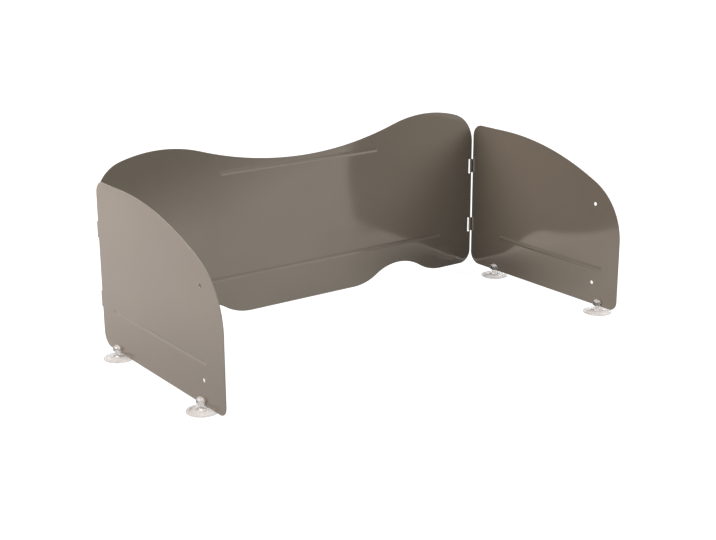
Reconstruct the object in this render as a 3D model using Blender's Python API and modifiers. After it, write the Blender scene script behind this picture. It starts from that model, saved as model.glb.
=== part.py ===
"""Camp table windscreen: a folding three-panel sheet-metal wind guard.

A wide back panel and two side wings are cut from 1 mm sheet.  Each wing has
two tongues on its rear edge, rolled round the narrow strip of sheet that a
slot leaves along the back panel's side edge, so the wing turns on it.  The
wings stand on clear suction cups whose split heads straddle the sheet.

Metres, +Z up, +X to the right as seen from the open front, -Y to the front.
The origin is under the middle of the object, on the table.
"""
import math

import bmesh
import bpy
from mathutils import Matrix, Vector

# ---------------------------------------------------------------- dimensions
MM = 0.001

SHEET = 1.0 * MM              # sheet thickness of all three panels
EDGE_BREAK = 0.15 * MM        # chamfer on every cut edge
CUP_HEIGHT = 10.0 * MM        # lower edge of the sheets above the table
DEPTH_SHIFT = 173.6 * MM      # hinge line to the middle of the object, along Y

# back panel
HALF_WIDTH = 351.0 * MM
DIP_HEIGHT = 236.0 * MM       # height at the middle of the dipped top edge
DIP_RADIUS = 588.0 * MM
DIP_HALF = 180.0 * MM         # where the dip turns into the shoulder
SHOULDER_X = 248.0 * MM       # highest point of each shoulder
TOP_CORNER_R = 54.0 * MM
BOTTOM_CORNER_R = 22.0 * MM
NOTCH_X = 192.0 * MM          # hose notches in the bottom edge
NOTCH_HALF = 92.0 * MM
NOTCH_RISE = 27.0 * MM

# hinge slots in the back panel and the tongues rolled through them
SLOT_Z = (67.8 * MM, 171.7 * MM)      # middles of the slots
SLOT_TALL = 25.0 * MM
SLOT_WIDE = 4.8 * MM
SLOT_CORNER_R = 0.8 * MM
STRIP = 1.7 * MM                      # sheet left between slot and side edge
ROLL_R = 1.8 * MM                     # mid-sheet radius of the rolled tongue
ROLL_TURN = math.radians(285.0)
ROLL_STEPS = 20
TONGUE_TALL = 23.4 * MM
TONGUE_LIFT = 0.5 * MM                # the slots hang on the tongues' tops
AXIS_X = HALF_WIDTH - STRIP / 2

# wings: s is the distance forward of the hinge axis, v the height
WING_REAR = 3.0 * MM
WING_FRONT = 349.5 * MM
WING_TOP = 245.5 * MM
WING_SLOPE_START = 81.0 * MM
WING_SLOPE_R = 500.0 * MM
WING_NOSE_R = 96.0 * MM
WING_FOOT_R = 15.0 * MM
WING_HEEL_R = 20.0 * MM
WING_REAR_TOP_R = 20.0 * MM
HOLE_R = 2.75 * MM
HOLE_S = 295.0 * MM
HOLE_V = (35.0 * MM, 163.0 * MM)

# pressed stiffening beads
BEAD_H = 0.8 * MM
BEAD_R = 16.0 * MM            # outside radius of the round bead section
BEAD_LOW_V = 60.0 * MM
BACK_BEAD_LOW_HALF = 283.0 * MM
BACK_BEAD_HIGH_V = 226.0 * MM
BACK_BEAD_HIGH_HALF = 149.0 * MM
LEFT_BEAD = (38.0 * MM, 303.0 * MM)    # the two wings differ a little
RIGHT_BEAD = (75.0 * MM, 316.0 * MM)

# suction cups, pushed on by hand; heights from the lower edge of the sheet
LEFT_CUPS = (46.0 * MM, 288.0 * MM)
RIGHT_CUPS = (66.0 * MM, 310.0 * MM)
CUP_RIM_R = 22.5 * MM
CUP_SEAT = 3.0 * MM           # flat ring that lies on the table
CUP_HOLLOW = 2.6 * MM
CUP_NECK_R = 5.2 * MM
CUP_HEAD_R = 8.5 * MM
CUP_HEAD_TOP = 10.5 * MM
CUP_HEAD_WIDE_Z = 5.0 * MM
CUP_HEAD_LOW = 2.0 * MM
CUP_GAP = 0.3 * MM            # clearance between the split head and the sheet
CUP_STEPS = 28

STEP = 7.0 * MM               # longest straight run on a curved edge

# ------------------------------------------------------------ clean the scene
for old in list(bpy.data.objects):
    bpy.data.objects.remove(old, do_unlink=True)
for block in (bpy.data.meshes, bpy.data.curves, bpy.data.materials):
    for item in list(block):
        if item.users == 0:
            block.remove(item)

parts = bpy.data.collections.new("camp_table_windscreen")
cutters = bpy.data.collections.new("cutters")
bpy.context.scene.collection.children.link(parts)
bpy.context.scene.collection.children.link(cutters)


# ------------------------------------------------------------------ materials
def material(name, color, roughness, metallic, alpha=1.0):
    mat = bpy.data.materials.new(name)
    mat.use_nodes = True
    shader = mat.node_tree.nodes["Principled BSDF"]
    shader.inputs["Base Color"].default_value = (*color, 1.0)
    shader.inputs["Roughness"].default_value = roughness
    shader.inputs["Metallic"].default_value = metallic
    shader.inputs["Alpha"].default_value = alpha
    return mat


mat_back = material("back_panel_paint", (0.24, 0.20, 0.155), 0.26, 0.35)
mat_left = material("left_wing_paint", (0.24, 0.20, 0.155), 0.26, 0.35)
mat_right = material("right_wing_paint", (0.24, 0.20, 0.155), 0.26, 0.35)
mat_cup = material("clear_cup", (0.86, 0.84, 0.82), 0.16, 0.0, 0.45)


# ------------------------------------------------------------ outline helpers
def arc(cx, cy, r, a0, a1, longest=STEP):
    """Points on a circle from angle a0 to a1, both ends included."""
    fine = min(longest, max(r * 0.28, 0.35 * MM))
    n = max(3, int(math.ceil(abs(a1 - a0) * r / fine)))
    return [(cx + r * math.cos(a0 + (a1 - a0) * i / n),
             cy + r * math.sin(a0 + (a1 - a0) * i / n)) for i in range(n + 1)]


def tidy(points):
    """Drop repeated points where two runs meet."""
    out = []
    for p in points:
        if not out or math.dist(p, out[-1]) > 0.02 * MM:
            out.append(p)
    if math.dist(out[0], out[-1]) < 0.02 * MM:
        out.pop()
    return out


def rounded_box(x0, y0, x1, y1, r):
    half = math.pi / 2
    pts = arc(x1 - r, y1 - r, r, 0, half)
    pts += arc(x0 + r, y1 - r, r, half, 2 * half)
    pts += arc(x0 + r, y0 + r, r, 2 * half, 3 * half)
    pts += arc(x1 - r, y0 + r, r, 3 * half, 4 * half)
    return tidy(pts)


def back_outline():
    """Right half from the bottom middle round to the top middle, mirrored."""
    # notch: an S of two equal arcs up, and the same down again
    lean = 2 * math.atan(NOTCH_RISE / NOTCH_HALF)
    r = NOTCH_HALF / (2 * math.sin(lean))
    down = -math.pi / 2
    up = math.pi / 2
    half = arc(NOTCH_X - NOTCH_HALF, r, r, down, down + lean)
    half += arc(NOTCH_X, NOTCH_RISE - r, r, up + lean, up - lean)
    half += arc(NOTCH_X + NOTCH_HALF, r, r, down - lean, down)
    # bottom corner
    c = BOTTOM_CORNER_R
    half += arc(HALF_WIDTH - c, c, c, down, 0.0)
    # shoulder circle, met by the dip on one side and the corner on the other
    dip_angle = math.asin(DIP_HALF / DIP_RADIUS)
    shoulder_r = (SHOULDER_X - DIP_HALF) / math.sin(dip_angle)
    join_z = DIP_HEIGHT + DIP_RADIUS * (1 - math.cos(dip_angle))
    sx, sz = SHOULDER_X, join_z - shoulder_r * math.cos(dip_angle)
    t = TOP_CORNER_R
    cx = HALF_WIDTH - t
    cz = sz + math.sqrt((shoulder_r - t) ** 2 - (cx - sx) ** 2)
    meet = math.atan2(cz - sz, cx - sx)
    half += arc(cx, cz, t, 0.0, meet)
    half += arc(sx, sz, shoulder_r, meet, up + dip_angle)
    half += arc(0.0, DIP_HEIGHT + DIP_RADIUS, DIP_RADIUS,
                down + dip_angle, down)
    half = tidy(half)
    other = [(-x, y) for x, y in reversed(half) if x > 0.01 * MM]
    return half + other


def wing_outline():
    """Flat wing with its tongues still straight, in (s, v)."""
    half = math.pi / 2
    flat = ROLL_R * ROLL_TURN
    s1, top = WING_FRONT, WING_TOP
    # long slope, then the nose circle down to the front edge
    ox, oy = WING_SLOPE_START, top - WING_SLOPE_R
    nx = s1 - WING_NOSE_R
    ny = oy + math.sqrt((WING_SLOPE_R - WING_NOSE_R) ** 2 - (nx - ox) ** 2)
    meet = math.atan2(ny - oy, nx - ox)
    pts = arc(s1 - WING_FOOT_R, WING_FOOT_R, WING_FOOT_R, -half, 0.0)
    pts += arc(nx, ny, WING_NOSE_R, 0.0, meet)
    pts += arc(ox, oy, WING_SLOPE_R, meet, half)
    r = WING_REAR_TOP_R
    pts += arc(WING_REAR + r, top - r, r, half, 2 * half)
    for middle in reversed(SLOT_Z):
        hi = middle + TONGUE_LIFT + TONGUE_TALL / 2
        lo = middle + TONGUE_LIFT - TONGUE_TALL / 2
        f, c = 1.0 * MM, 1.4 * MM          # root fillet and end corner
        pts += arc(WING_REAR - f, hi + f, f, 0.0, -half)
        pts += arc(-flat + c, hi - c, c, half, 2 * half)
        pts += arc(-flat + c, lo + c, c, 2 * half, 3 * half)
        pts += arc(WING_REAR - f, lo - f, f, half, 0.0)
    r = WING_HEEL_R
    pts += arc(WING_REAR + r, r, r, 2 * half, 3 * half)
    return tidy(pts)


# --------------------------------------------------------------- mesh helpers
def plate(name, outline, holes):
    """Sheet from a filled outline, standing in X-Z, thickness along Y."""
    curve = bpy.data.curves.new(name + "_outline", 'CURVE')
    curve.dimensions = '2D'
    curve.fill_mode = 'BOTH'
    curve.extrude = SHEET / 2 - EDGE_BREAK
    curve.bevel_depth = EDGE_BREAK
    curve.bevel_resolution = 0
    curve.offset = -EDGE_BREAK
    for loop in [outline] + holes:
        spline = curve.splines.new('POLY')
        spline.points.add(len(loop) - 1)
        for point, (x, y) in zip(spline.points, loop):
            point.co = (x, y, 0.0, 1.0)
        spline.use_cyclic_u = True
    guide = bpy.data.objects.new(name + "_outline", curve)
    cutters.objects.link(guide)
    guide.rotation_euler = (math.radians(90.0), 0.0, 0.0)
    bpy.context.view_layer.update()
    graph = bpy.context.evaluated_depsgraph_get()
    mesh = bpy.data.meshes.new_from_object(guide.evaluated_get(graph))
    mesh.transform(guide.matrix_world)
    bpy.data.objects.remove(guide, do_unlink=True)
    bm = bmesh.new()
    bm.from_mesh(mesh)
    bmesh.ops.remove_doubles(bm, verts=bm.verts, dist=0.00001)
    bmesh.ops.recalc_face_normals(bm, faces=bm.faces)
    bm.to_mesh(mesh)
    bm.free()
    mesh.materials.clear()
    obj = bpy.data.objects.new(name, mesh)
    parts.objects.link(obj)
    return obj


def cutter(name, bm):
    bmesh.ops.recalc_face_normals(bm, faces=bm.faces)
    mesh = bpy.data.meshes.new(name)
    bm.to_mesh(mesh)
    bm.free()
    obj = bpy.data.objects.new(name, mesh)
    cutters.objects.link(obj)
    obj.hide_render = True
    obj.display_type = 'WIRE'
    return obj


def pill(name, x0, x1, z, y, radius):
    """A ball pulled apart along X: round bar with ball ends."""
    bm = bmesh.new()
    bmesh.ops.create_uvsphere(bm, u_segments=72, v_segments=37, radius=radius,
                              matrix=Matrix.Rotation(math.radians(90), 4, 'Y'))
    for vert in bm.verts:
        vert.co.x += x1 if vert.co.x > 0 else x0
    bmesh.ops.translate(bm, verts=bm.verts, vec=(0.0, y, z))
    return cutter(name, bm)


def block(name, low, high):
    bm = bmesh.new()
    bmesh.ops.create_cube(bm, size=1.0)
    low, high = Vector(low), Vector(high)
    bmesh.ops.scale(bm, verts=bm.verts, vec=high - low)
    bmesh.ops.translate(bm, verts=bm.verts, vec=(low + high) / 2)
    return cutter(name, bm)


def boolean(obj, tool, operation):
    mod = obj.modifiers.new(tool.name, 'BOOLEAN')
    mod.object = tool
    mod.operation = operation
    mod.solver = 'EXACT'


def in_order(bm):
    """Sort a mesh by position, so that each run makes the same one."""
    def spot(item):
        verts = item.verts if hasattr(item, "verts") else [item]
        return sorted(tuple(round(c * 1e6) for c in v.co) for v in verts)

    for seq in (bm.verts, bm.edges, bm.faces):
        seq.ensure_lookup_table()
        seq.index_update()
        order = sorted(range(len(seq)), key=lambda i: spot(seq[i]))
        place = [0] * len(order)
        for rank, i in enumerate(order):
            place[i] = rank
        seq.sort(key=lambda item: place[item.index])
        seq.index_update()


def merge_flats(bm, axis):
    """Join the triangles of the sheet's two flat faces into large faces."""
    bm.normal_update()
    flat = [e for e in bm.edges if len(e.link_faces) == 2
            and all(abs(getattr(f.normal, axis)) > 0.99999
                    for f in e.link_faces)]
    bmesh.ops.dissolve_limit(bm, angle_limit=0.01, verts=[], edges=flat)


def settle(obj):
    """Make the evaluated mesh the object's own."""
    bpy.context.view_layer.update()
    graph = bpy.context.evaluated_depsgraph_get()
    mesh = bpy.data.meshes.new_from_object(obj.evaluated_get(graph))
    obj.modifiers.clear()
    obj.data = mesh


def press_bead(obj, tag, x0, x1, z, way):
    """Emboss a bead through the sheet; way is +1 or -1 along Y."""
    end = math.sqrt(BEAD_R ** 2 - (BEAD_R - BEAD_H) ** 2)
    a, b = x0 + end, x1 - end
    centre = way * (SHEET / 2 + BEAD_H - BEAD_R)
    bump = pill(tag + "_bump", a, b, z, centre, BEAD_R)
    far = 4.0 * MM
    reach = BEAD_R * 1.5
    low = (x0 - reach, min(0.0, way * far), z - reach)
    high = (x1 + reach, max(0.0, way * far), z + reach)
    keep = block(tag + "_half", low, high)
    boolean(bump, keep, 'INTERSECT')
    groove = pill(tag + "_groove", a, b, z, centre, BEAD_R - SHEET)
    boolean(obj, bump, 'UNION')
    boolean(obj, groove, 'DIFFERENCE')


def finish(obj, mat, origin):
    """Clean mesh, origin on the joint axis, smooth rounds, own material."""
    bm = bmesh.new()
    bm.from_mesh(obj.data)
    bmesh.ops.remove_doubles(bm, verts=bm.verts, dist=0.00001)
    bmesh.ops.dissolve_degenerate(bm, edges=bm.edges, dist=0.000001)
    bmesh.ops.recalc_face_normals(bm, faces=bm.faces)
    bmesh.ops.translate(bm, verts=bm.verts, vec=-Vector(origin))
    in_order(bm)
    bm.to_mesh(obj.data)
    bm.free()
    obj.location = origin
    obj.data.materials.clear()
    obj.data.materials.append(mat)
    obj.data.shade_smooth()
    obj.data.set_sharp_from_angle(angle=math.radians(32.0))


# ----------------------------------------------------------------- back panel
slots = []
for side in (-1, 1):
    for middle in SLOT_Z:
        inner = HALF_WIDTH - STRIP - SLOT_WIDE
        outer = HALF_WIDTH - STRIP
        a, b = sorted((side * inner, side * outer))
        slots.append(rounded_box(a, middle - SLOT_TALL / 2,
                                 b, middle + SLOT_TALL / 2, SLOT_CORNER_R))

back = plate("back_panel", back_outline(), slots)
press_bead(back, "back_high", -BACK_BEAD_HIGH_HALF, BACK_BEAD_HIGH_HALF,
           BACK_BEAD_HIGH_V, 1)
press_bead(back, "back_low", -BACK_BEAD_LOW_HALF, BACK_BEAD_LOW_HALF,
           BEAD_LOW_V, 1)
settle(back)
back.data.transform(Matrix.Translation((0.0, DEPTH_SHIFT, CUP_HEIGHT)))
finish(back, mat_back, (0.0, DEPTH_SHIFT, CUP_HEIGHT))


# ---------------------------------------------------------------------- wings
def make_wing(name, side, bead, mat):
    holes = [tidy(arc(HOLE_S, v, HOLE_R, 0.0, 2 * math.pi, 0.6 * MM))
             for v in HOLE_V]
    wing = plate(name, wing_outline(), holes)
    press_bead(wing, name + "_bead", bead[0], bead[1], BEAD_LOW_V, -1)
    settle(wing)
    bm = bmesh.new()
    bm.from_mesh(wing.data)
    bmesh.ops.remove_doubles(bm, verts=bm.verts, dist=0.00001)
    in_order(bm)
    merge_flats(bm, 'y')
    # cross lines along the tongues, so that they can be rolled
    flat = ROLL_R * ROLL_TURN
    for i in range(ROLL_STEPS):
        geom = bm.verts[:] + bm.edges[:] + bm.faces[:]
        bmesh.ops.bisect_plane(bm, geom=geom, dist=0.000002,
                               plane_co=(-flat * i / ROLL_STEPS, 0.0, 0.0),
                               plane_no=(1.0, 0.0, 0.0))
    # fold the flat (s, w, v) sheet out into place, rolling what lies behind
    # the hinge axis round it
    for vert in bm.verts:
        s, w, v = vert.co
        r = ROLL_R + w
        if s >= 0.0:
            out, ahead = r, s
        else:
            turn = -s / ROLL_R
            out, ahead = r * math.cos(turn), -r * math.sin(turn)
        vert.co = (side * (AXIS_X + out), DEPTH_SHIFT - ahead, CUP_HEIGHT + v)
    bm.to_mesh(wing.data)
    bm.free()
    finish(wing, mat, (side * AXIS_X, DEPTH_SHIFT, CUP_HEIGHT))
    return wing


make_wing("left_wing", -1, LEFT_BEAD, mat_left)
make_wing("right_wing", 1, RIGHT_BEAD, mat_right)


# --------------------------------------------------------------- suction cups
def cup_profile():
    """Outside from the top of the head to the rim, then the hollow below."""
    pts = []
    steps = 5
    for i in range(steps + 1):                      # domed head
        a = math.radians(90.0) * (1 - i / steps)
        pts.append((CUP_HEAD_R * math.cos(a),
                    CUP_HEAD_WIDE_Z
                    + (CUP_HEAD_TOP - CUP_HEAD_WIDE_Z) * math.sin(a)))
    pts.append((CUP_HEAD_R - 0.1 * MM, CUP_HEAD_LOW + 1.2 * MM))
    pts.append((CUP_HEAD_R - 0.8 * MM, CUP_HEAD_LOW))
    pts.append((CUP_NECK_R, CUP_HEAD_LOW - 0.6 * MM))
    pts.append((CUP_NECK_R, -3.2 * MM))
    low = -CUP_HEIGHT
    shoulder_z, rim_z = -4.2 * MM, low + 0.9 * MM
    steps = 7
    for i in range(1, steps + 1):                   # bell sweeping out
        t = i / steps
        r = CUP_NECK_R + (CUP_RIM_R - CUP_NECK_R) * t
        drop = 1 - (1 - t) ** 1.7
        pts.append((r, shoulder_z + (rim_z - shoulder_z) * drop))
    pts.append((CUP_RIM_R, low + 0.35 * MM))
    pts.append((CUP_RIM_R - 0.4 * MM, low))
    pts.append((CUP_RIM_R - CUP_SEAT, low))
    steps = 3
    for i in range(1, steps + 1):                   # hollow underside
        t = i / steps
        r = (CUP_RIM_R - CUP_SEAT) * (1 - t)
        pts.append((r, low + CUP_HOLLOW * math.sin(t * math.pi / 2)))
    return pts


def make_cup(name, x, s):
    bm = bmesh.new()
    profile = cup_profile()
    verts = [bm.verts.new((r, 0.0, z)) for r, z in profile]
    for a, b in zip(verts, verts[1:]):
        bm.edges.new((a, b))
    mesh = bpy.data.meshes.new(name)
    bm.to_mesh(mesh)
    bm.free()
    cup = bpy.data.objects.new(name, mesh)
    parts.objects.link(cup)
    turn = cup.modifiers.new("turn", 'SCREW')
    turn.axis = 'Z'
    turn.angle = math.radians(360.0)
    turn.steps = CUP_STEPS
    turn.render_steps = CUP_STEPS
    turn.use_merge_vertices = True
    turn.merge_threshold = 0.00001
    turn.use_smooth_shade = True
    split = block(name + "_split",
                  (-SHEET / 2 - CUP_GAP, -CUP_HEAD_R * 1.5, -CUP_GAP),
                  (SHEET / 2 + CUP_GAP, CUP_HEAD_R * 1.5, CUP_HEAD_TOP * 1.5))
    boolean(cup, split, 'DIFFERENCE')
    settle(cup)
    cup.data.transform(Matrix.Translation((x, DEPTH_SHIFT - s, CUP_HEIGHT)))
    finish(cup, mat_cup.copy(), (x, DEPTH_SHIFT - s, CUP_HEIGHT))
    return cup


sheet_x = AXIS_X + ROLL_R
make_cup("cup_left_rear", -sheet_x, LEFT_CUPS[0])
make_cup("cup_left_front", -sheet_x, LEFT_CUPS[1])
make_cup("cup_right_rear", sheet_x, RIGHT_CUPS[0])
make_cup("cup_right_front", sheet_x, RIGHT_CUPS[1])
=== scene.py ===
import math

import bpy
import numpy as np
from mathutils import Matrix, Vector, geometry


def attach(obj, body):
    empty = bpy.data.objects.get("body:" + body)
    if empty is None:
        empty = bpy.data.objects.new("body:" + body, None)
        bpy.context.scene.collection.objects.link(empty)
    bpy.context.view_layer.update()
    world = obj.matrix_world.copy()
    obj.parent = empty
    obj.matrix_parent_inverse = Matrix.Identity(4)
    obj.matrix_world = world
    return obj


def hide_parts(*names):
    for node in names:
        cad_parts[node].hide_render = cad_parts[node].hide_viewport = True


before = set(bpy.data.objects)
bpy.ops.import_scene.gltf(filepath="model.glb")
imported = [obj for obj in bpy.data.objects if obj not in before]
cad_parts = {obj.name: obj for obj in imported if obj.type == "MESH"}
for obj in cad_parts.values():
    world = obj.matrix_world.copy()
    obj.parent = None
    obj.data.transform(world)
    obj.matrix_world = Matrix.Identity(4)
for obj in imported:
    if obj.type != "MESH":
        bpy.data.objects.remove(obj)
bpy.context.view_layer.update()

MM = 0.001
SHEET = 1.0 * MM
EDGE_R = 0.3 * MM             # rounding of the painted cut edges
CUP_HEIGHT = 10.0 * MM
DEPTH_SHIFT = 173.6 * MM

HALF_WIDTH = 351.0 * MM
DIP_HEIGHT = 236.0 * MM
DIP_RADIUS = 588.0 * MM
DIP_HALF = 180.0 * MM
SHOULDER_X = 248.0 * MM
TOP_CORNER_R = 54.0 * MM
BOTTOM_CORNER_R = 22.0 * MM
NOTCH_X = 192.0 * MM
NOTCH_HALF = 92.0 * MM
NOTCH_RISE = 27.0 * MM

SLOT_Z = (67.8 * MM, 171.7 * MM)
SLOT_TALL = 25.0 * MM
SLOT_WIDE = 4.8 * MM
SLOT_CORNER_R = 0.8 * MM
STRIP = 1.7 * MM
ROLL_R = 1.8 * MM
ROLL_TURN = math.radians(285.0)
ROLL_STEPS = 36
TONGUE_TALL = 23.4 * MM
TONGUE_LIFT = 0.5 * MM
AXIS_X = HALF_WIDTH - STRIP / 2

WING_REAR = 3.0 * MM
WING_FRONT = 349.5 * MM
WING_TOP = 245.5 * MM
WING_SLOPE_START = 81.0 * MM
WING_SLOPE_R = 500.0 * MM
WING_NOSE_R = 96.0 * MM
WING_FOOT_R = 15.0 * MM
WING_HEEL_R = 20.0 * MM
WING_REAR_TOP_R = 20.0 * MM
HOLE_R = 2.75 * MM
HOLE_S = 295.0 * MM
HOLE_V = (35.0 * MM, 163.0 * MM)

BEAD_H = 0.8 * MM
BEAD_CROWN_R = 7.0 * MM
BEAD_FOOT_R = 4.5 * MM
BEAD_LOW_V = 60.0 * MM
BACK_BEAD_LOW_HALF = 283.0 * MM
BACK_BEAD_HIGH_V = 226.0 * MM
BACK_BEAD_HIGH_HALF = 149.0 * MM
LEFT_BEAD = (38.0 * MM, 303.0 * MM)
RIGHT_BEAD = (75.0 * MM, 316.0 * MM)

LEFT_CUPS = (46.0 * MM, 288.0 * MM)
RIGHT_CUPS = (66.0 * MM, 310.0 * MM)
CUP_RIM_R = 22.5 * MM
CUP_NECK_R = 5.2 * MM
CUP_HEAD_R = 8.5 * MM
CUP_HEAD_TOP = 10.5 * MM
CUP_HEAD_WIDE_Z = 5.0 * MM
CUP_HEAD_LOW = 2.0 * MM
CUP_GAP = 0.3 * MM

STEP = 4.0 * MM
scene = bpy.context.scene


# ------------------------------------------------------------------- outlines
def arc(cx, cy, r, a0, a1, longest=STEP):
    fine = min(longest, max(r * 0.16, 0.22 * MM))
    n = max(4, int(math.ceil(abs(a1 - a0) * r / fine)))
    return [(cx + r * math.cos(a0 + (a1 - a0) * i / n),
             cy + r * math.sin(a0 + (a1 - a0) * i / n)) for i in range(n + 1)]


def tidy(points, longest=6.0 * MM):
    """Drop repeated points and cut long straight runs into short ones."""
    out = []
    for p in points:
        if not out or math.dist(p, out[-1]) > 0.02 * MM:
            out.append(p)
    if math.dist(out[0], out[-1]) < 0.02 * MM:
        out.pop()
    full = []
    for a, b in zip(out, out[1:] + out[:1]):
        n = max(1, int(math.ceil(math.dist(a, b) / longest - 1e-6)))
        for i in range(n):
            full.append((a[0] + (b[0] - a[0]) * i / n,
                         a[1] + (b[1] - a[1]) * i / n))
    return full


def rounded_box(x0, y0, x1, y1, r):
    half = math.pi / 2
    pts = arc(x1 - r, y1 - r, r, 0, half)
    pts += arc(x0 + r, y1 - r, r, half, 2 * half)
    pts += arc(x0 + r, y0 + r, r, 2 * half, 3 * half)
    pts += arc(x1 - r, y0 + r, r, 3 * half, 4 * half)
    return tidy(pts, 2.0 * MM)


def back_outline():
    lean = 2 * math.atan(NOTCH_RISE / NOTCH_HALF)
    r = NOTCH_HALF / (2 * math.sin(lean))
    down, up = -math.pi / 2, math.pi / 2
    half = [(0.0, 0.0)]
    half += arc(NOTCH_X - NOTCH_HALF, r, r, down, down + lean)
    half += arc(NOTCH_X, NOTCH_RISE - r, r, up + lean, up - lean)
    half += arc(NOTCH_X + NOTCH_HALF, r, r, down - lean, down)
    c = BOTTOM_CORNER_R
    half += arc(HALF_WIDTH - c, c, c, down, 0.0)
    dip_angle = math.asin(DIP_HALF / DIP_RADIUS)
    shoulder_r = (SHOULDER_X - DIP_HALF) / math.sin(dip_angle)
    join_z = DIP_HEIGHT + DIP_RADIUS * (1 - math.cos(dip_angle))
    sx, sz = SHOULDER_X, join_z - shoulder_r * math.cos(dip_angle)
    t = TOP_CORNER_R
    cx = HALF_WIDTH - t
    cz = sz + math.sqrt((shoulder_r - t) ** 2 - (cx - sx) ** 2)
    meet = math.atan2(cz - sz, cx - sx)
    half += arc(cx, cz, t, 0.0, meet)
    half += arc(sx, sz, shoulder_r, meet, up + dip_angle)
    half += arc(0.0, DIP_HEIGHT + DIP_RADIUS, DIP_RADIUS, down + dip_angle, down)
    other = [(-x, y) for x, y in reversed(half) if x > 0.01 * MM]
    return tidy(half + other)


def wing_outline():
    half = math.pi / 2
    flat = ROLL_R * ROLL_TURN
    s1, top = WING_FRONT, WING_TOP
    ox, oy = WING_SLOPE_START, top - WING_SLOPE_R
    nx = s1 - WING_NOSE_R
    ny = oy + math.sqrt((WING_SLOPE_R - WING_NOSE_R) ** 2 - (nx - ox) ** 2)
    meet = math.atan2(ny - oy, nx - ox)
    pts = arc(s1 - WING_FOOT_R, WING_FOOT_R, WING_FOOT_R, -half, 0.0)
    pts += arc(nx, ny, WING_NOSE_R, 0.0, meet)
    pts += arc(ox, oy, WING_SLOPE_R, meet, half)
    r = WING_REAR_TOP_R
    pts += arc(WING_REAR + r, top - r, r, half, 2 * half)
    rows = [-flat * i / ROLL_STEPS for i in range(ROLL_STEPS + 1)]
    for middle in reversed(SLOT_Z):
        hi = middle + TONGUE_LIFT + TONGUE_TALL / 2
        lo = middle + TONGUE_LIFT - TONGUE_TALL / 2
        f, c = 1.0 * MM, 1.4 * MM
        pts += arc(WING_REAR - f, hi + f, f, 0.0, -half)
        pts += [(s, hi) for s in rows if s > -flat + c + 0.1 * MM]
        pts += arc(-flat + c, hi - c, c, half, 2 * half)
        pts += arc(-flat + c, lo + c, c, 2 * half, 3 * half)
        pts += [(s, lo) for s in reversed(rows) if s > -flat + c + 0.1 * MM]
        pts += arc(WING_REAR - f, lo - f, f, half, 0.0)
    r = WING_HEEL_R
    pts += arc(WING_REAR + r, r, r, 2 * half, 3 * half)
    return tidy(pts)


# ---------------------------------------------------------------- sheet maker
def beside(loop, d):
    """Closed loop moved d to its left, which is where the sheet lies."""
    p = np.array(loop)
    a = p - np.roll(p, 1, 0)
    b = np.roll(p, -1, 0) - p
    a /= np.linalg.norm(a, axis=1)[:, None]
    b /= np.linalg.norm(b, axis=1)[:, None]
    na = np.stack([-a[:, 1], a[:, 0]], 1)
    nb = np.stack([-b[:, 1], b[:, 0]], 1)
    m = (na + nb) / (1 + (na * nb).sum(1))[:, None]
    return p + m * d


def clearance(points, loops):
    """Distance of each point to the nearest of the loops."""
    best = np.full(len(points), 1e9)
    for loop in loops:
        a = np.array(loop)
        ab = np.roll(a, -1, 0) - a
        for i in range(0, len(points), 2000):
            p = points[i:i + 2000]
            ap = p[:, None] - a[None]
            t = np.clip((ap * ab).sum(2) / (ab * ab).sum(1), 0, 1)
            d = np.linalg.norm(ap - t[..., None] * ab, axis=2).min(1)
            best[i:i + 2000] = np.minimum(best[i:i + 2000], d)
    return best


def within(points, loops):
    """Inside an odd number of loops, so in the sheet and not in a hole."""
    inside = np.zeros(len(points), bool)
    for loop in loops:
        a = np.array(loop)
        b = np.roll(a, -1, 0)
        for i in range(0, len(points), 4000):
            p = points[i:i + 4000]
            over = (a[:, 1] > p[:, 1, None]) != (b[:, 1] > p[:, 1, None])
            dy = np.where(b[:, 1] == a[:, 1], 1.0, b[:, 1] - a[:, 1])
            x = a[:, 0] + (p[:, 1, None] - a[:, 1]) * (b[:, 0] - a[:, 0]) / dy
            inside[i:i + 4000] ^= ((over & (p[:, 0, None] < x)).sum(1) % 2 == 1)
    return inside


BEAD_LEAN = math.acos(1 - BEAD_H / (BEAD_CROWN_R + BEAD_FOOT_R))
BEAD_HALF = (BEAD_CROWN_R + BEAD_FOOT_R) * math.sin(BEAD_LEAN)


def bead_rows():
    """Distances from the bead's middle line at which its section turns."""
    rows = [BEAD_CROWN_R * math.sin(BEAD_LEAN * i / 7) for i in range(8)]
    rows += [BEAD_HALF - BEAD_FOOT_R * math.sin(BEAD_LEAN * (1 - i / 5))
             for i in range(1, 6)]
    return rows + [BEAD_HALF + 0.8 * MM, BEAD_HALF + 2.0 * MM]


def bead_section(d):
    """Height and slope of the pressed section at distance d."""
    crown = BEAD_CROWN_R * math.sin(BEAD_LEAN)
    high = BEAD_H - BEAD_CROWN_R + np.sqrt(
        np.maximum(BEAD_CROWN_R ** 2 - np.minimum(d, crown) ** 2, 1e-12))
    up = -np.minimum(d, crown) / np.sqrt(
        np.maximum(BEAD_CROWN_R ** 2 - np.minimum(d, crown) ** 2, 1e-12))
    e = np.clip(BEAD_HALF - d, 0, BEAD_FOOT_R * math.sin(BEAD_LEAN))
    low = BEAD_FOOT_R - np.sqrt(BEAD_FOOT_R ** 2 - e ** 2)
    dn = -e / np.sqrt(BEAD_FOOT_R ** 2 - e ** 2)
    first = d <= crown
    h = np.where(first, high, low)
    return np.where(d < BEAD_HALF, h, 0.0), np.where(
        d < BEAD_HALF, np.where(first, up, dn), 0.0)


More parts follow.
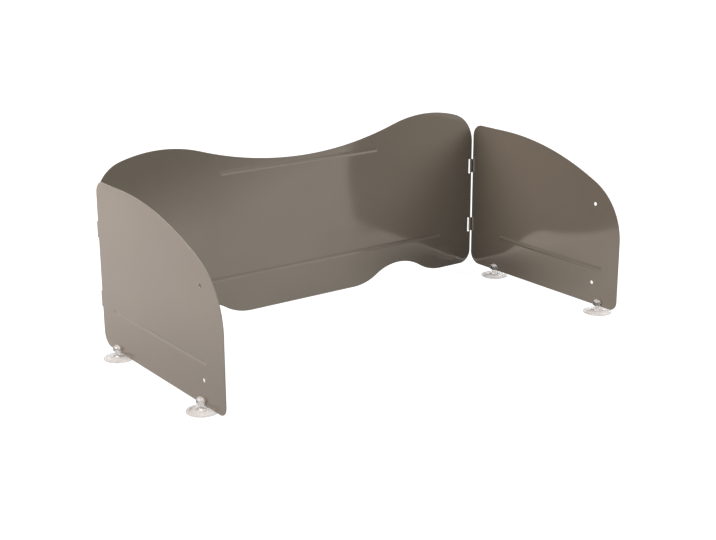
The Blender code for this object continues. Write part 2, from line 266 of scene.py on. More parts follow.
def bead_points(bead):
    x0, x1, z, _ = bead
    a, b = x0 + BEAD_HALF, x1 - BEAD_HALF
    n = int(math.ceil((b - a) / (3.2 * MM)))
    along = [a + (b - a) * i / n for i in range(n + 1)]
    pts = []
    for d in bead_rows():
        for x in along:
            pts.append((x, z + d))
            if d > 0:
                pts.append((x, z - d))
        if d > 0:
            turns = 8 if d < 0.9 * MM else 16
            for i in range(1, turns):
                t = math.pi / 2 + math.pi * i / turns
                pts.append((a + d * math.cos(t), z + d * math.sin(t)))
                pts.append((b - d * math.cos(t), z + d * math.sin(t)))
    return pts


def height(p, beads, ripple, bow):
    """Height of the middle surface over the flat sheet, and its slopes."""
    h = np.zeros(len(p))
    g = np.zeros((len(p), 2))
    for x0, x1, z, way in beads:
        a, b = x0 + BEAD_HALF, x1 - BEAD_HALF
        near = np.stack([np.clip(p[:, 0], a, b), np.full(len(p), z)], 1)
        v = p - near
        d = np.linalg.norm(v, axis=1)
        bh, bs = bead_section(d)
        h += way * bh
        g += (way * bs / np.maximum(d, 1e-9))[:, None] * v
    # the sheet isn't quite flat between its stiff edges
    amp, kx, kz, px, pz, low, high = ripple
    sx, cx = np.sin(kx * p[:, 0] + px), np.cos(kx * p[:, 0] + px)
    sz, cz = np.sin(kz * p[:, 1] + pz), np.cos(kz * p[:, 1] + pz)
    fade = np.clip((p[:, 0] - low) / (high - low), 0, 1) if low < high else 1.0
    if low < high:
        fade = np.sin(np.pi * fade) ** 2
        dfade = np.pi / (high - low) * np.sin(
            2 * np.pi * np.clip((p[:, 0] - low) / (high - low), 0, 1))
    h += amp * fade * sx * sz
    g[:, 0] += amp * (dfade * sx * sz + fade * kx * cx * sz)
    g[:, 1] += amp * fade * kz * sx * cz
    # one shallow S-shaped bow, leaning by lu and lv at its middle
    u, v = p[:, 0] - bow[0], p[:, 1] - bow[1]
    su, sv, lu, lv = bow[2:]
    bell = np.exp(-(u / su) ** 2 - (v / sv) ** 2)
    lean = lu * u + lv * v
    h += lean * bell
    g[:, 0] += (lu - 2 * u / su ** 2 * lean) * bell
    g[:, 1] += (lv - 2 * v / sv ** 2 * lean) * bell
    return h, g


def sheet_mesh(name, outline, holes, beads, ripple, bow, extra, place):
    """A closed sheet with rounded edges.  place puts (u, v, w) and its normals
    in the row frame."""
    loops = [outline] + [list(reversed(h)) for h in holes]
    inner = [beside(loop, EDGE_R) for loop in loops]
    # points of the flat face: rim, a line just inside it, beads, then a net
    points = [q for loop in inner for q in loop]
    edges, start = [], 0
    for loop in inner:
        n = len(loop)
        edges += [(start + i, start + (i + 1) % n) for i in range(n)]
        start += n
    rim_count = start
    line = 1.5 * MM
    second = np.concatenate([beside(loop, line)[::2] for loop in loops])
    keep = (clearance(second, loops) > line * 0.93) & within(second, loops)
    second = second[keep]
    extra = np.array(extra).reshape(-1, 2)
    if len(extra):
        far = np.min(np.linalg.norm(second[:, None] - extra[None], axis=2), 1)
        second = second[far > 0.8 * MM]
    free = [second]
    if len(extra):
        free.append(extra)
    for bead in beads:
        free.append(np.array(bead_points(bead)))
    pitch = 9.0 * MM
    o = np.array(outline)
    (x0, z0), (x1, z1) = o.min(0), o.max(0)
    grid = []
    row = 0
    z = z0
    while z < z1:
        x = x0 + (pitch / 2 if row % 2 else 0.0)
        while x < x1:
            grid.append((x, z))
            x += pitch
        z += pitch * 0.866
        row += 1
    grid = np.array(grid)
    ok = within(grid, loops) & (clearance(grid, loops) > 5.0 * MM)
    for a0, a1, bz, _ in beads:
        nx = np.clip(grid[:, 0], a0 + BEAD_HALF, a1 - BEAD_HALF)
        ok &= np.hypot(grid[:, 0] - nx, grid[:, 1] - bz) > BEAD_HALF + 5.0 * MM
    free.append(grid[ok])
    points += [tuple(q) for q in np.concatenate(free)]
    # Delaunay works best in millimetres
    flat = [Vector((q[0] / MM, q[1] / MM)) for q in points]
    got, _, tris, origin, _, _ = geometry.delaunay_2d_cdt(
        flat, edges, [], 0, 1e-5, True)
    got = np.array([tuple(q) for q in got]) * MM
    first = [min(i) if i else -1 for i in origin]
    assert len(got) == len(points) and sorted(first) == list(range(len(got)))
    order = np.zeros(len(got), int)
    for i, j in enumerate(first):
        order[i] = j
    uv = np.array([tuple(q) for q in points])
    tris = np.array([[order[i] for i in t] for t in tris])
    middle = uv[tris].mean(1)
    tris = tris[within(middle, inner)]
    a, b, c = uv[tris[:, 0]], uv[tris[:, 1]], uv[tris[:, 2]]
    area = (b[:, 0] - a[:, 0]) * (c[:, 1] - a[:, 1]) - (
        b[:, 1] - a[:, 1]) * (c[:, 0] - a[:, 0])
    tris = tris[np.abs(area) > 1e-14]
    area = area[np.abs(area) > 1e-14]
    tris[area < 0] = tris[area < 0][:, ::-1]
    tris = tris[np.lexsort(tris.T)]

    n = len(uv)
    h, g = height(uv, beads, ripple, bow)
    up = np.concatenate([-g, np.ones((n, 1))], 1)
    up /= np.linalg.norm(up, axis=1)[:, None]
    mid = np.concatenate([uv, h[:, None]], 1)
    verts = [mid + up * SHEET / 2, mid - up * SHEET / 2]
    norms = [up, -up]
    wear = [np.where(np.arange(n) < rim_count, 0.8, 0.0)] * 2
    crown = [np.abs(h) / BEAD_H] * 2
    faces = [tris, tris[:, ::-1] + n]
    # the rim: rounded corners from one face to the other
    turns = 4
    rings = []
    for i in range(1, turns + 1):
        t = math.pi / 2 * i / turns
        rings.append((EDGE_R * math.sin(t),
                      SHEET / 2 - EDGE_R * (1 - math.cos(t)),
                      math.sin(t), math.cos(t)))
    rings += [(e, -w, x, -y) for e, w, x, y in reversed(rings)]
    rings = rings[:-1]
    total = 2 * n
    quads = []
    start = 0
    for loop, inset in zip(loops, inner):
        m = len(loop)
        true = np.array(loop)
        outward = (true - inset) / EDGE_R
        unit = outward / np.linalg.norm(outward, axis=1)[:, None]
        hl, gl = height(np.array(inset), beads, ripple, bow)
        ids = [np.arange(start, start + m)]
        for e, w, x, y in rings:
            pos = np.concatenate([inset + outward * e, (hl + w)[:, None]], 1)
            verts.append(pos)
            norms.append(np.concatenate(
                [unit * x, np.full((m, 1), y)], 1))
            wear.append(np.ones(m))
            crown.append(np.zeros(m))
            ids.append(np.arange(total, total + m))
            total += m
        ids.append(np.arange(start, start + m) + n)
        for p, q in zip(ids, ids[1:]):
            quads.append(np.stack(
                [p, q, np.roll(q, -1), np.roll(p, -1)], 1))
        start += m
    verts = np.concatenate(verts)
    norms = np.concatenate(norms)
    verts, norms = place(verts, norms)
    norms /= np.linalg.norm(norms, axis=1)[:, None]
    faces = [tuple(int(i) for i in f) for part in faces + quads for f in part]
    mesh = bpy.data.meshes.new(name)
    mesh.from_pydata(verts.tolist(), [], faces)
    # outward winding
    t = np.array([f[:3] for f in faces] + [(f[0], f[2], f[3])
                                           for f in faces if len(f) == 4])
    volume = np.einsum('ij,ij->i', verts[t[:, 0]],
                       np.cross(verts[t[:, 1]], verts[t[:, 2]])).sum()
    if volume < 0:
        mesh.flip_normals()
    mesh.shade_smooth()
    mesh.normals_split_custom_set_from_vertices(norms.tolist())
    for key, values in (("edge_wear", wear), ("bead_crown", crown)):
        layer = mesh.attributes.new(key, 'FLOAT', 'POINT')
        layer.data.foreach_set("value", np.concatenate(values).astype('f4'))
    mesh.update()
    obj = bpy.data.objects.new(name, mesh)
    scene.collection.objects.link(obj)
    return obj


def place_back(p, n):
    """u to the right, v up, w to the rear."""
    return (np.stack([p[:, 0], DEPTH_SHIFT + p[:, 2], CUP_HEIGHT + p[:, 1]], 1),
            np.stack([n[:, 0], n[:, 2], n[:, 1]], 1))


def place_wing(side):
    """u forward from the hinge axis, v up, w out; rolled where u < 0."""
    def place(p, n):
        s, v, w = p[:, 0], p[:, 1], p[:, 2]
        r = ROLL_R + w
        turn = np.where(s < 0, -s / ROLL_R, 0.0)
        out = np.where(s < 0, r * np.cos(turn), r)
        ahead = np.where(s < 0, -r * np.sin(turn), s)
        n_out = n[:, 2] * np.cos(turn) + n[:, 0] * np.sin(turn)
        n_ahead = -n[:, 2] * np.sin(turn) + n[:, 0] * np.cos(turn)
        return (np.stack([side * (AXIS_X + out), DEPTH_SHIFT - ahead,
                          CUP_HEIGHT + v], 1),
                np.stack([side * n_out, -n_ahead, n[:, 1]], 1))
    return place


# ------------------------------------------------------------------- materials
def nodes_for(name):
    mat = bpy.data.materials.new(name)
    mat.use_nodes = True
    tree = mat.node_tree
    return mat, tree, tree.nodes["Principled BSDF"]


def noise(tree, vector, scale, detail=2.0, rough=0.5, lacunarity=2.0):
    node = tree.nodes.new("ShaderNodeTexNoise")
    node.inputs["Scale"].default_value = scale
    node.inputs["Detail"].default_value = detail
    node.inputs["Roughness"].default_value = rough
    node.inputs["Lacunarity"].default_value = lacunarity
    tree.links.new(vector, node.inputs["Vector"])
    return node.outputs["Fac"]


def remap(tree, value, a, b, c, d):
    node = tree.nodes.new("ShaderNodeMapRange")
    for i, x in enumerate((a, b, c, d)):
        node.inputs[i + 1].default_value = x
    tree.links.new(value, node.inputs[0])
    return node.outputs[0]


def math_node(tree, kind, a, b=None):
    node = tree.nodes.new("ShaderNodeMath")
    node.operation = kind
    for i, x in enumerate((a, b)):
        if x is None:
            continue
        if isinstance(x, (int, float)):
            node.inputs[i].default_value = x
        else:
            tree.links.new(x, node.inputs[i])
    return node.outputs[0]


def mix_colour(tree, fac, a, b):
    node = tree.nodes.new("ShaderNodeMix")
    node.data_type = 'RGBA'
    sockets = [s for s in node.inputs if s.type == 'RGBA']
    if isinstance(fac, (int, float)):
        node.inputs[0].default_value = fac
    else:
        tree.links.new(fac, node.inputs[0])
    for socket, x in zip(sockets, (a, b)):
        if isinstance(x, tuple):
            socket.default_value = (*x, 1.0)
        else:
            tree.links.new(x, socket)
    return [s for s in node.outputs if s.type == 'RGBA'][0]


PAINT = (0.228, 0.197, 0.158)


def painted_sheet(name, seed):
    """Satin metallic taupe paint: faint clouding, orange peel, scuffed edges."""
    mat, tree, shader = nodes_for(name)
    coord = tree.nodes.new("ShaderNodeTexCoord")
    shift = tree.nodes.new("ShaderNodeVectorMath")
    shift.operation = 'ADD'
    shift.inputs[1].default_value = (seed * 3.1, seed * 1.7, seed * 0.9)
    tree.links.new(coord.outputs["Object"], shift.inputs[0])
    spot = shift.outputs[0]
    cloud = noise(tree, spot, 6.0, 3.0, 0.55)
    fleck = noise(tree, spot, 900.0, 2.0, 0.6)
    smudge = noise(tree, spot, 24.0, 4.0, 0.6)
    # colour: body, clouded by a few per cent, with fine flecks
    light = tuple(c * 1.045 for c in PAINT)
    dark = tuple(c * f for c, f in zip(PAINT, (0.955, 0.957, 0.962)))
    body = mix_colour(tree, remap(tree, cloud, 0.32, 0.68, 0.0, 1.0),
                      dark, light)
    spark = remap(tree, fleck, 0.35, 0.75, 0.0, 0.16)
    body = mix_colour(tree, spark, body, (0.33, 0.275, 0.215))
    # wear: thin paint and small bright nicks along the cut edges
    edge = tree.nodes.new("ShaderNodeAttribute")
    edge.attribute_name = "edge_wear"
    nick = noise(tree, spot, 160.0, 5.0, 0.7)
    thin = math_node(tree, 'MULTIPLY', edge.outputs["Fac"],
                     remap(tree, nick, 0.40, 0.62, 0.25, 1.0))
    thin = math_node(tree, 'POWER', thin, 1.6)
    body = mix_colour(tree, math_node(tree, 'MULTIPLY', thin, 0.42), body,
                      (0.115, 0.098, 0.078))
    bare = math_node(tree, 'MULTIPLY',
                     math_node(tree, 'POWER', edge.outputs["Fac"], 3.0),
                     remap(tree, nick, 0.63, 0.70, 0.0, 0.75))
    body = mix_colour(tree, bare, body, (0.42, 0.40, 0.37))
    tree.links.new(body, shader.inputs["Base Color"])
    metal = math_node(tree, 'ADD', remap(tree, cloud, 0.3, 0.7, 0.12, 0.16),
                      math_node(tree, 'MULTIPLY', bare, 0.6))
    tree.links.new(metal, shader.inputs["Metallic"])
    rough = math_node(tree, 'ADD', remap(tree, smudge, 0.3, 0.7, 0.085, 0.115),
                      math_node(tree, 'MULTIPLY', thin, 0.16))
    tree.links.new(rough, shader.inputs["Roughness"])
    shader.inputs["IOR"].default_value = 1.5
    # the clear coat over the bronze flakes is a little amber
    shader.inputs["Specular Tint"].default_value = (1.0, 0.95, 0.90, 1.0)
    # orange peel of the baked paint
    peel = noise(tree, spot, 420.0, 2.0, 0.45)
    bump = tree.nodes.new("ShaderNodeBump")
    bump.inputs["Strength"].default_value = 0.10
    bump.inputs["Distance"].default_value = 0.00012
    tree.links.new(peel, bump.inputs["Height"])
    tree.links.new(bump.outputs["Normal"], shader.inputs["Normal"])
    return mat


def clear_plastic(name, seed):
    """Soft clear plastic, a little milky, with faint flow and dust, and painted
    shade on its rim and head.
    """
    mat, tree, shader = nodes_for(name)
    coord = tree.nodes.new("ShaderNodeTexCoord")
    shift = tree.nodes.new("ShaderNodeVectorMath")
    shift.operation = 'ADD'
    shift.inputs[1].default_value = (seed * 2.3, seed * 1.1, seed * 4.7)
    tree.links.new(coord.outputs["Object"], shift.inputs[0])
    spot = shift.outputs[0]
    haze = noise(tree, spot, 90.0, 3.0, 0.55)
    dust = noise(tree, spot, 700.0, 3.0, 0.6)
    tint = mix_colour(tree, remap(tree, haze, 0.3, 0.7, 0.0, 1.0),
                      (0.73, 0.685, 0.66), (0.82, 0.785, 0.76))
    # painted shade: the outer ring and the head are darkened, for the refraction
    # shade at the rim and the dark panel seen through the head
    ring = tree.nodes.new("ShaderNodeAttribute")
    ring.attribute_name = "rim_and_head_shade"
    tint = mix_colour(tree, math_node(tree, 'MULTIPLY', ring.outputs["Fac"], 0.85),
                      tint, (0.36, 0.34, 0.325))
    tree.links.new(tint, shader.inputs["Base Color"])
    tree.links.new(remap(tree, haze, 0.3, 0.7, 0.19, 0.26),
                   shader.inputs["Roughness"])
    tree.links.new(remap(tree, dust, 0.42, 0.72, 0.96, 0.86),
                   shader.inputs["Transmission Weight"])
    shader.inputs["IOR"].default_value = 1.46
    shader.inputs["Specular IOR Level"].default_value = 0.3
    bump = tree.nodes.new("ShaderNodeBump")
    bump.inputs["Strength"].default_value = 0.25
    bump.inputs["Distance"].default_value = 0.0002
    tree.links.new(noise(tree, spot, 260.0, 2.0, 0.5), bump.inputs["Height"])
    tree.links.new(bump.outputs["Normal"], shader.inputs["Normal"])
    return mat


# --------------------------------------------------------------- three sheets
slots = []
for way in (-1, 1):
    for middle in SLOT_Z:
        near = HALF_WIDTH - STRIP - SLOT_WIDE
        far = HALF_WIDTH - STRIP
        a, b = sorted((way * near, way * far))
        slots.append(rounded_box(a, middle - SLOT_TALL / 2,
                                 b, middle + SLOT_TALL / 2, SLOT_CORNER_R))

back = sheet_mesh(
    "back_panel_sheet", back_outline(), slots,
    [(-BACK_BEAD_HIGH_HALF, BACK_BEAD_HIGH_HALF, BACK_BEAD_HIGH_V, 1),
     (-BACK_BEAD_LOW_HALF, BACK_BEAD_LOW_HALF, BEAD_LOW_V, 1)],
    (0.10 * MM, 14.0, 17.0, 0.7, 0.4, -0.33, 0.33),
    (0.095, 0.200, 0.060, 0.055, 0.0135, 0.0), [], place_back)
back.data.materials.append(painted_sheet("taupe_paint_back", 1.0))
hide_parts("back_panel")
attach(back, "back")

flat = ROLL_R * ROLL_TURN
tongue = []
for middle in SLOT_Z:
    lo = middle + TONGUE_LIFT - TONGUE_TALL / 2
    for i in range(ROLL_STEPS + 1):
        s = -flat * i / ROLL_STEPS
        for k in range(1, 10):
            v = lo + TONGUE_TALL * k / 10
            if s > -flat + 0.9 * MM:
                tongue.append((s, v))
for way, node, body, bead, bow in (
        (-1, "left_wing", "wing_left", LEFT_BEAD,
         (0.200, 0.130, 0.080, 0.070, 0.002, 0.001)),
        (1, "right_wing", "wing_right", RIGHT_BEAD,
         (0.235, 0.094, 0.040, 0.055, 0.0, -0.020))):
    holes = [tidy(arc(HOLE_S, v, HOLE_R, 0.0, 2 * math.pi, 0.5 * MM))
             for v in HOLE_V]
    wing = sheet_mesh(
        node + "_sheet", wing_outline(), holes,
        [(bead[0], bead[1], BEAD_LOW_V, -1)],
        (0.09 * MM, 17.0, 15.0, 0.3 + way, 1.1, 0.02, 0.34), bow,
        tongue, place_wing(way))
    wing.data.materials.append(painted_sheet("taupe_paint_" + node, 4.0 + way))
    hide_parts(node)
    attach(wing, body)


# ---------------------------------------------------------------- suction cups
def cup_mesh(name, x, y):
    """Turned body below the sheet's edge, then two half heads beside it."""
    low = -CUP_HEIGHT
    c, round_r = SHEET / 2 + CUP_GAP, 0.35 * MM
    floor = -CUP_GAP

    def corner(r):
        """Angle and place of the fillet between head and slot wall."""
        yf = math.sqrt(max((r - round_r) ** 2 - (c + round_r) ** 2, 0.0))
        return math.atan2(yf, c + round_r), yf

    base, _ = corner(CUP_NECK_R)
    arc_n, gap_n, fil_n, wall_n = 44, 8, 5, 10
    angles = [-base + 2 * base * i / arc_n for i in range(arc_n + 1)]
    gap = [base + (math.pi - 2 * base) * i / gap_n for i in range(1, gap_n)]
    ring = angles + gap + [a + math.pi for a in angles]
    ring += [a + math.pi for a in gap]
    m = len(ring)
    # outside of the turned body, top to bottom, then its hollow
    prof = [(CUP_NECK_R, floor), (CUP_NECK_R, -1.2 * MM), (CUP_NECK_R, -2.4 * MM),
            (CUP_NECK_R + 0.05 * MM, -3.2 * MM)]
    steps = 18
    shoulder, rim = -4.0 * MM, low + 1.15 * MM
    for i in range(1, steps + 1):
        t = i / steps
        r = CUP_NECK_R + (CUP_RIM_R - 1.7 * MM - CUP_NECK_R) * t
        prof.append((r, shoulder + (rim - shoulder) * (1 - (1 - t) ** 1.7)))
    # a small groove, then the thick rim ring
    prof += [(CUP_RIM_R - 1.35 * MM, rim - 0.12 * MM),
             (CUP_RIM_R - 1.05 * MM, rim - 0.02 * MM),
             (CUP_RIM_R - 0.75 * MM, rim + 0.06 * MM),
             (CUP_RIM_R - 0.42 * MM, rim + 0.0 * MM),
             (CUP_RIM_R - 0.16 * MM, rim - 0.22 * MM),
             (CUP_RIM_R - 0.02 * MM, rim - 0.52 * MM),
             (CUP_RIM_R, rim - 0.72 * MM),
             (CUP_RIM_R - 0.08 * MM, low + 0.22 * MM),
             (CUP_RIM_R - 0.28 * MM, low + 0.06 * MM),
             (CUP_RIM_R - 0.55 * MM, low),
             (CUP_RIM_R - 2.4 * MM, low),
             (CUP_RIM_R - 3.0 * MM, low + 0.05 * MM)]
    steps = 12
    hollow_r = CUP_RIM_R - 3.0 * MM
    for i in range(1, steps):
        t = i / steps
        prof.append((hollow_r * (1 - t),
                     low + 0.05 * MM + 3.6 * MM * math.sin(t * math.pi / 2) ** 1.15))
    verts, faces = [], []
    rows = []
    for r, z in prof:
        rows.append([len(verts) + j for j in range(m)])
        verts += [(r * math.cos(a), r * math.sin(a), z) for a in ring]
    for p, q in zip(rows, rows[1:]):
        for j in range(m):
            k = (j + 1) % m
            faces.append((p[k], p[j], q[j], q[k]))
    verts.append((0.0, 0.0, low + 3.65 * MM))
    tip = len(verts) - 1
    for j in range(m):
        faces.append((rows[-1][(j + 1) % m], rows[-1][j], tip))
    # head outline, from the slot's floor to the dome
    head = [(CUP_NECK_R, floor), (CUP_NECK_R, 0.35 * MM),
            (CUP_NECK_R + 0.12 * MM, 0.75 * MM),
            (CUP_NECK_R + 0.55 * MM, 1.08 * MM),
            (CUP_HEAD_R - 0.75 * MM, CUP_HEAD_LOW),
            (CUP_HEAD_R - 0.3 * MM, CUP_HEAD_LOW + 0.28 * MM),
            (CUP_HEAD_R - 0.07 * MM, CUP_HEAD_LOW + 0.75 * MM),
            (CUP_HEAD_R, CUP_HEAD_LOW + 1.6 * MM)]
    steps = 16
    for i in range(1, steps):
        a = math.pi / 2 * i / steps
        r = CUP_HEAD_R * math.cos(a) ** 0.92
        if r < c + 2 * round_r + 0.25 * MM:
            break
        head.append((r, CUP_HEAD_WIDE_Z
                     + (CUP_HEAD_TOP - CUP_HEAD_WIDE_Z) * math.sin(a)))
    shared = {}
    for turn in (0, 1):
        flip = -1 if turn else 1
        before = None
        for level, (r, z) in enumerate(head):
            lim, yf = corner(r)
            loop = []
            for i in range(arc_n + 1):              # round side
                a = -lim + 2 * lim * i / arc_n
                loop.append((r * math.cos(a), r * math.sin(a)))
            for i in range(1, fil_n + 1):           # fillet on to the wall
                a = lim + (math.pi - lim) * i / fil_n
                loop.append((c + round_r + round_r * math.cos(a),
                             yf + round_r * math.sin(a)))
            for i in range(1, wall_n):              # slot wall
                loop.append((c, yf - 2 * yf * i / wall_n))
            for i in range(fil_n):
                a = math.pi + (math.pi - lim) * i / fil_n
                loop.append((c + round_r + round_r * math.cos(a),
                             -yf + round_r * math.sin(a)))
            ids = []
            for i, (px, py) in enumerate(loop):
                if level == 0 and i <= arc_n:
                    # the round side starts on the turned body's top ring
                    ids.append(rows[0][i + (arc_n + gap_n if turn else 0)])
                    continue
                ids.append(len(verts))
                verts.append((flip * px, flip * py, z))
            if level == 0:
                shared[turn] = ids
            if before:
                k = len(ids)
                for i in range(k):
                    j = (i + 1) % k
                    faces.append((before[i], before[j], ids[j], ids[i]))
            before = ids
        # close the dome with a slightly higher middle
        ring_pts = [verts[i] for i in before]
        cx = sum(p[0] for p in ring_pts) / len(ring_pts)
        verts.append((cx, 0.0, head[-1][1] + 0.10 * MM))
        for i in range(len(before)):
            faces.append((before[i], before[(i + 1) % len(before)],
                          len(verts) - 1))
    # floor of the slot, between the two half heads
    wall0 = shared[0][arc_n:] + [shared[0][0]]
    wall1 = shared[1][arc_n:] + [shared[1][0]]
    gap0 = rows[0][arc_n + 1:arc_n + gap_n]
    gap1 = rows[0][2 * arc_n + gap_n + 1:]
    outline = wall0[::-1] + gap0 + wall1[::-1] + gap1
    seen = []
    for i in outline:
        if i not in seen:
            seen.append(i)
    pts = [Vector((verts[i][0] / MM, verts[i][1] / MM)) for i in seen]
    count = len(pts)
    loop_edges = [(i, (i + 1) % count) for i in range(count)]
    _, _, tris, origin, _, _ = geometry.delaunay_2d_cdt(
        pts, loop_edges, [], 0, 1e-6, True)
    back_to = [min(i) for i in origin]
    loop_xy = [tuple(p) for p in pts]
    for t in tris:
        ids = [back_to[i] for i in t]
        mid = np.array([[sum(loop_xy[i][0] for i in ids) / 3,
                         sum(loop_xy[i][1] for i in ids) / 3]])
        if within(mid, [loop_xy])[0]:
            a, b, d = (loop_xy[i] for i in ids)
            area = ((b[0] - a[0]) * (d[1] - a[1])
                    - (b[1] - a[1]) * (d[0] - a[0]))
            if abs(area) > 1e-9:
                if area < 0:
                    ids.reverse()
                faces.append(tuple(seen[i] for i in ids))
    mesh = bpy.data.meshes.new(name)
    mesh.from_pydata([(x + p[0], y + p[1], CUP_HEIGHT + p[2]) for p in verts],
                     [], faces)
    mesh.shade_smooth()
    mesh.set_sharp_from_angle(angle=math.radians(50.0))
    # painted shade: full on the cup's outer ring, part on its head
    shade_of = [0.0] * len(verts)
    for i, p in enumerate(verts):
        far = math.hypot(p[0], p[1])
        if p[2] < rim + 0.2 * MM and far > CUP_RIM_R - 1.5 * MM:
            shade_of[i] = 1.0
        elif p[2] > 0.4 * MM:       # painted shade on the head too
            shade_of[i] = 0.45
    layer = mesh.attributes.new("rim_and_head_shade", 'FLOAT', 'POINT')
    layer.data.foreach_set("value", shade_of)
    mesh.update()
    obj = bpy.data.objects.new(name, mesh)
    scene.collection.objects.link(obj)
    return obj


sheet_x = AXIS_X + ROLL_R
for i, (node, body, way, s) in enumerate((
        ("cup_left_rear", "foot_left_rear", -1, LEFT_CUPS[0]),
        ("cup_left_front", "foot_left_front", -1, LEFT_CUPS[1]),
        ("cup_right_rear", "foot_right_rear", 1, RIGHT_CUPS[0]),
        ("cup_right_front", "foot_right_front", 1, RIGHT_CUPS[1]))):
    cup = cup_mesh(node + "_clear", way * sheet_x, DEPTH_SHIFT - s)
    cup.data.materials.append(clear_plastic("clear_plastic_" + node, 1.0 + i))
    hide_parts(node)
    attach(cup, body)


# -------------------------------------------------------------- floor and light
def seamless_floor():
    """Flat out to nine metres, then curved up into a wall all round."""
    prof = [(3.0, 0.0), (6.0, 0.0), (9.0, 0.0)]
    prof += [(9.0 + 3.0 * math.sin(math.pi * i / 24),
              3.0 - 3.0 * math.cos(math.pi * i / 24)) for i in range(1, 13)]
    prof += [(12.0, 9.0), (12.0, 15.0)]
    turns = 72
    verts = [(0.0, 0.0, 0.0)]
    for r, z in prof:
        verts += [(r * math.cos(2 * math.pi * i / turns),
                   r * math.sin(2 * math.pi * i / turns), z)
                  for i in range(turns)]
    faces = [(0, 1 + i, 1 + (i + 1) % turns) for i in range(turns)]
    for row in range(len(prof) - 1):
        a = 1 + row * turns
        for i in range(turns):
            j = (i + 1) % turns
            faces.append((a + i, a + turns + i, a + turns + j, a + j))
    mesh = bpy.data.meshes.new("pale_floor")
    mesh.from_pydata(verts, [], faces)
    mesh.shade_smooth()
    obj = bpy.data.objects.new("pale_floor", mesh)
    scene.collection.objects.link(obj)
    return obj


floor = seamless_floor()
mat, tree, shader = nodes_for("pale_floor_matt")
coord = tree.nodes.new("ShaderNodeTexCoord")
grain = noise(tree, coord.outputs["Object"], 3.0, 3.0, 0.5)
tree.links.new(mix_colour(tree, grain, (0.245, 0.245, 0.245),
                          (0.255, 0.255, 0.255)), shader.inputs["Base Color"])
shader.inputs["Roughness"].default_value = 0.75
shader.inputs["Specular IOR Level"].default_value = 0.2
# a light table: part of its white comes from below, and more up the wall,
# where less of the room's light falls
split = tree.nodes.new("ShaderNodeSeparateXYZ")
tree.links.new(coord.outputs["Object"], split.inputs[0])
tree.links.new(mix_colour(tree, remap(tree, split.outputs["Z"], 0.0, 2.5, 0.0, 1.0),
                          (0.86, 0.86, 0.86), (1.0, 1.0, 1.0)),
               shader.inputs["Emission Color"])
shader.inputs["Emission Strength"].default_value = 1.0
floor.data.materials.append(mat)
floor.visible_diffuse = False
floor.visible_shadow = False

# four near-black cards of painted shade lie on the table, seen only by the paint's
# gloss: they paint shade into the floor that the panels reflect
def painted_shade_card(name, place, size, turn, cover):
    """cover gives how dense the painted shade is, 0 to 1, from its own X and Y."""
    bpy.ops.mesh.primitive_plane_add(size=1.0, location=(0.0, 0.0, 0.0))
    card = bpy.context.object
    card.name = name
    card.scale = (size[0], size[1], 1.0)
    card.rotation_euler = (0.0, 0.0, turn)
    card.location = place
    mat, tree, shader = nodes_for(name + "_cloth")
    coord = tree.nodes.new("ShaderNodeTexCoord")
    tree.links.new(mix_colour(tree, noise(tree, coord.outputs["Object"], 8.0),
                              (0.015, 0.015, 0.015), (0.03, 0.03, 0.03)),
                   shader.inputs["Base Color"])
    shader.inputs["Roughness"].default_value = 0.95
    split = tree.nodes.new("ShaderNodeSeparateXYZ")
    tree.links.new(coord.outputs["Object"], split.inputs[0])
    tree.links.new(cover(tree, split.outputs["X"], split.outputs["Y"]),
                   shader.inputs["Alpha"])
    card.data.materials.append(mat)
    card.visible_camera = False
    card.visible_diffuse = False
    card.visible_transmission = False
    card.visible_shadow = False


# painted shade on the floor reflected low in front and to the right, fading in over
# its first 0.3 m
FLAG_NEAR, FLAG_FAR = -0.20, -1.50
FLAG_LEFT, FLAG_RIGHT = 0.10, 2.00
turn = math.radians(36.0)
front = Vector((math.sin(turn), math.cos(turn), 0.0))
aside = Vector((math.cos(turn), -math.sin(turn), 0.0))
fade = 0.30 / (FLAG_NEAR - FLAG_FAR)
side = 0.15 / (FLAG_RIGHT - FLAG_LEFT)
painted_shade_card(
    "front_painted_shade",
    front * (FLAG_NEAR + FLAG_FAR) / 2 + aside * (FLAG_LEFT + FLAG_RIGHT) / 2
    + Vector((0.0, 0.0, 0.002)),
    (FLAG_RIGHT - FLAG_LEFT, FLAG_NEAR - FLAG_FAR), -turn,
    lambda tree, x, y: math_node(tree, 'MULTIPLY',
                                 remap(tree, y, 0.5, 0.5 - fade, 0.0, 1.0),
                                 remap(tree, x, -0.5, -0.5 + side, 0.0, 1.0)))

# painted shade further right, for what the back panel's shoulder reflects over the
# wing
painted_shade_card(
    "right_painted_shade", (1.45, -0.95, 0.0025), (1.3, 1.3), -turn,
    lambda tree, x, y: math_node(
        tree, 'MULTIPLY',
        math_node(tree, 'MULTIPLY', remap(tree, x, -0.5, -0.3, 0.0, 1.0),
                  remap(tree, x, 0.5, 0.3, 0.0, 1.0)),
        math_node(tree, 'MULTIPLY', remap(tree, y, -0.5, -0.3, 0.0, 0.6),
                  remap(tree, y, 0.5, 0.3, 0.0, 1.0))))

# a thin painted shade along the left wing's foot, on the floor that the wing
# reflects
painted_shade_card(
    "left_painted_shade", (-0.43, 0.08, 0.0015), (0.24, 0.80), 0.0,
    lambda tree, x, y: math_node(
        tree, 'MULTIPLY', remap(tree, x, -0.5, 0.2, 0.0, 0.22),
        math_node(tree, 'MULTIPLY', remap(tree, y, -0.5, -0.3, 0.0, 1.0),
                  remap(tree, y, 0.5, 0.1, 0.0, 1.0))))


CORNER = (0.34, 0.14, 0.40)        # middle and width of the corner's painted shade card
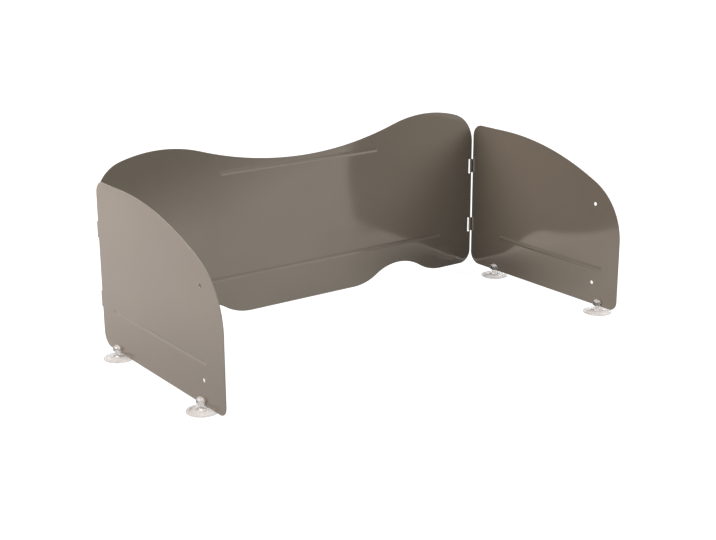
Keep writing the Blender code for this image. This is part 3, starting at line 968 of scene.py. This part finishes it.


def corner_shade_cover(tree, x, y):
    """Painted shade, densest in the middle, gone at half the card's width, and cut
    off under the two sheets, so that the gap below them still looks light."""
    far = math_node(tree, 'SQRT', math_node(
        tree, 'ADD', math_node(tree, 'MULTIPLY', x, x),
        math_node(tree, 'MULTIPLY', y, y)))
    side = (AXIS_X + 14.0 * MM - CORNER[0]) / CORNER[2]
    rear = (DEPTH_SHIFT + 18.0 * MM - CORNER[1]) / CORNER[2]
    soft = 4.0 * MM / CORNER[2]
    return math_node(
        tree, 'MULTIPLY', remap(tree, far, 0.12, 0.5, 0.80, 0.0),
        math_node(tree, 'MULTIPLY', remap(tree, x, side - soft, side, 1.0, 0.0),
                  remap(tree, y, rear - soft, rear, 1.0, 0.0)))


# painted shade under the right-hand corner, where the sheets keep the light off the
# table
painted_shade_card("corner_painted_shade", (CORNER[0], CORNER[1], 0.0015),
            (CORNER[2], CORNER[2]), 0.0, corner_shade_cover)

# the room: a broad light overhead, and a little from below through the table
world = bpy.data.worlds.new("white_studio")
world.use_nodes = True
scene.world = world
tree = world.node_tree
sky = tree.nodes["Background"]
coord = tree.nodes.new("ShaderNodeTexCoord")
split = tree.nodes.new("ShaderNodeSeparateXYZ")
tree.links.new(coord.outputs["Generated"], split.inputs[0])
tree.links.new(math_node(
    tree, 'ADD', remap(tree, split.outputs["Z"], 0.5, 0.7, 0.0, 1.0),
    remap(tree, split.outputs["Z"], -0.02, 0.02, 0.083, 0.0)), sky.inputs["Color"])
sky.inputs["Strength"].default_value = 1.83


def softbox(name, place, aim, size, power, colour):
    light = bpy.data.lights.new(name, 'AREA')
    light.color = colour
    light.shape = 'RECTANGLE'
    light.size, light.size_y = size
    light.energy = power
    obj = bpy.data.objects.new(name, light)
    obj.location = place
    obj.rotation_euler = (Vector(aim) - Vector(place)).to_track_quat(
        '-Z', 'Y').to_euler()
    scene.collection.objects.link(obj)
    return obj


softbox("rear_left_softbox", (-1.15, 0.55, 0.95), (0.0, 0.0, 0.12),
        (0.9, 0.9), 17.0, (1.0, 0.88, 0.845))
fill = softbox("front_right_softbox", (1.54, -1.60, 1.06), (0.0, 0.0, 0.12),
               (1.4, 1.2), 30.3, (1.0, 1.0, 1.0))
fill.visible_glossy = False     # a fill, with no highlight of its own

# -------------------------------------------------------------------- camera
YAW, PITCH, ROLL = math.radians(35.979), math.radians(16.959), math.radians(0.22)
ahead = Vector((math.sin(YAW) * math.cos(PITCH),
                math.cos(YAW) * math.cos(PITCH), -math.sin(PITCH)))
right = Vector((math.cos(YAW), -math.sin(YAW), 0.0))
down = ahead.cross(right)
cam_x = right * math.cos(ROLL) + down * math.sin(ROLL)
cam_y = right * math.sin(ROLL) - down * math.cos(ROLL)
lens = bpy.data.cameras.new("camera")
lens.lens = 66.41
lens.sensor_width = 36.0
camera = bpy.data.objects.new("camera", lens)
camera.matrix_world = Matrix.Translation((-1.1232, -1.5220, 0.6766)) @ Matrix((
    (cam_x.x, cam_y.x, -ahead.x, 0.0),
    (cam_x.y, cam_y.y, -ahead.y, 0.0),
    (cam_x.z, cam_y.z, -ahead.z, 0.0),
    (0.0, 0.0, 0.0, 1.0)))
lens.clip_start, lens.clip_end = 0.05, 80.0
scene.collection.objects.link(camera)
scene.camera = camera

scene.view_settings.view_transform = 'Standard'
scene.view_settings.look = 'None'

bpy.context.view_layer.update()
